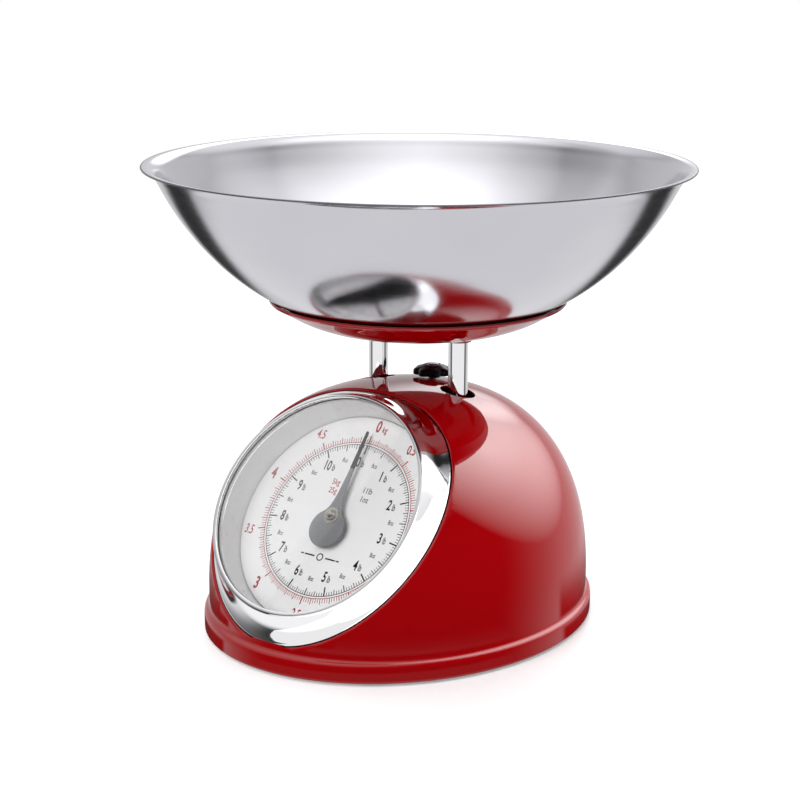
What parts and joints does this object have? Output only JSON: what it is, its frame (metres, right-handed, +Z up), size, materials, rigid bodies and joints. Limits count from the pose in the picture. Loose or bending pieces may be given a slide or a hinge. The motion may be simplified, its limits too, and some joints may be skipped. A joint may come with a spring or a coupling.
{
  "type": "kitchen scale",
  "caption": "Mechanical kitchen scale with a domed body, slanted round dial, platform on two posts and a lift-off steel bowl.",
  "frame": {"origin": "on the floor under the bowl's axis, which is also the middle between the two posts", "axes": "+Z up along the bowl's axis, -Y towards the dial side (front), +X to the right seen from the front"},
  "size_m": [0.26, 0.26, 0.2187],
  "materials": {
    "red_enamel": "gloss",
    "stainless": "polished",
    "chrome": "mirror",
    "black_plastic": "satin",
    "rubber": "matt",
    "white_plastic": "satin",
    "dial_face": "printed",
    "pointer_grey": "satin",
    "clear": "clear",
    "zinc_steel": "zinc plated",
    "brass": "turned",
    "spring_steel": "drawn"
  },
  "bodies": {
    "housing": {"body_shell": "red_enamel", "base_plate": "zinc_steel", "foot_1": "rubber", "foot_2": "rubber", "foot_3": "rubber", "foot_4": "rubber", "base_screw_1": "zinc_steel", "base_screw_2": "zinc_steel", "base_screw_3": "zinc_steel", "base_screw_4": "zinc_steel", "chassis": "zinc_steel", "chassis_screw_1": "zinc_steel", "chassis_screw_2": "zinc_steel", "chassis_screw_3": "zinc_steel", "chassis_screw_4": "zinc_steel", "upper_frame_pin": "zinc_steel", "lower_frame_pin": "zinc_steel", "bezel_ring": "chrome", "lens": "clear", "dial_cup": "white_plastic", "dial_plate": "dial_face", "dial_bracket": "zinc_steel", "bracket_screw_1": "zinc_steel", "bracket_screw_2": "zinc_steel", "front_bush": "brass", "rear_bush": "brass", "left_spring": "spring_steel", "right_spring": "spring_steel"},
    "carriage": {"platform": "red_enamel", "left_post": "chrome", "right_post": "chrome", "left_platform_screw": "zinc_steel", "right_platform_screw": "zinc_steel", "yoke": "zinc_steel", "left_post_screw": "zinc_steel", "right_post_screw": "zinc_steel", "upper_yoke_pin": "zinc_steel", "lower_yoke_pin": "zinc_steel", "rack_pin": "zinc_steel"},
    "bowl": {"bowl": "stainless"},
    "rack": {"rack": "brass"},
    "pointer": {"pointer": "pointer_grey", "pointer_arbor": "zinc_steel", "pinion": "brass", "pointer_cap": "brass"},
    "upper_lever": {"upper_lever": "zinc_steel"},
    "lower_lever": {"lower_lever": "zinc_steel"},
    "zero_knob": {"zero_knob": "black_plastic", "knob_cap": "zinc_steel", "adjusting_screw": "zinc_steel"},
    "spring_hanger": {"spring_hanger": "zinc_steel"}
  },
  "joints": [
    {"name": "platform_slide", "type": "slide", "parent": "housing", "child": "carriage", "axis": [0, 0, -1], "range_m": [0, 0.01595], "stiffness_N_per_m": 3075.8, "springref_m": -0.00262, "deforming": ["left_spring", "right_spring"]},
    {"name": "bowl_lift", "type": "slide", "parent": "carriage", "child": "bowl", "axis": [0, 0, 1], "range_m": [0, 0.12]},
    {"name": "rack_slide", "type": "slide", "parent": "housing", "child": "rack", "axis": [0, -0.6157, -0.788], "range_m": [0, 0.01258]},
    {"name": "pointer_spin", "type": "hinge", "parent": "housing", "child": "pointer", "pos_m": [0, -0.0704, 0.0654], "axis": [0, 0.788, -0.6157], "range_deg": [0, 360.1]},
    {"name": "upper_lever_pivot", "type": "hinge", "parent": "housing", "child": "upper_lever", "pos_m": [0, 0.046, 0.048], "axis": [1, 0, 0], "range_deg": [0, 19.77]},
    {"name": "lower_lever_pivot", "type": "hinge", "parent": "housing", "child": "lower_lever", "pos_m": [0, 0.046, 0.028], "axis": [1, 0, 0], "range_deg": [0, 19.77]},
    {"name": "zero_knob_turn", "type": "hinge", "parent": "housing", "child": "zero_knob", "pos_m": [0, 0.0123, 0.1147], "axis": [0, 0, 1], "range_deg": [-540, 540]},
    {"name": "hanger_slide", "type": "slide", "parent": "housing", "child": "spring_hanger", "axis": [0, 0, 1], "range_m": [-0.00106, 0.00106]}
  ],
  "couplings": [
    {"joint": "rack_slide", "follows": "platform_slide", "ratio": 0.78801},
    {"joint": "pointer_spin", "follows": "platform_slide", "rad_per_m": 394.01},
    {"joint": "upper_lever_pivot", "follows": "platform_slide", "rad_per_m": 21.524},
    {"joint": "lower_lever_pivot", "follows": "platform_slide", "rad_per_m": 21.524},
    {"joint": "hanger_slide", "follows": "zero_knob_turn", "m_per_rad": 0.00011141}
  ]
}
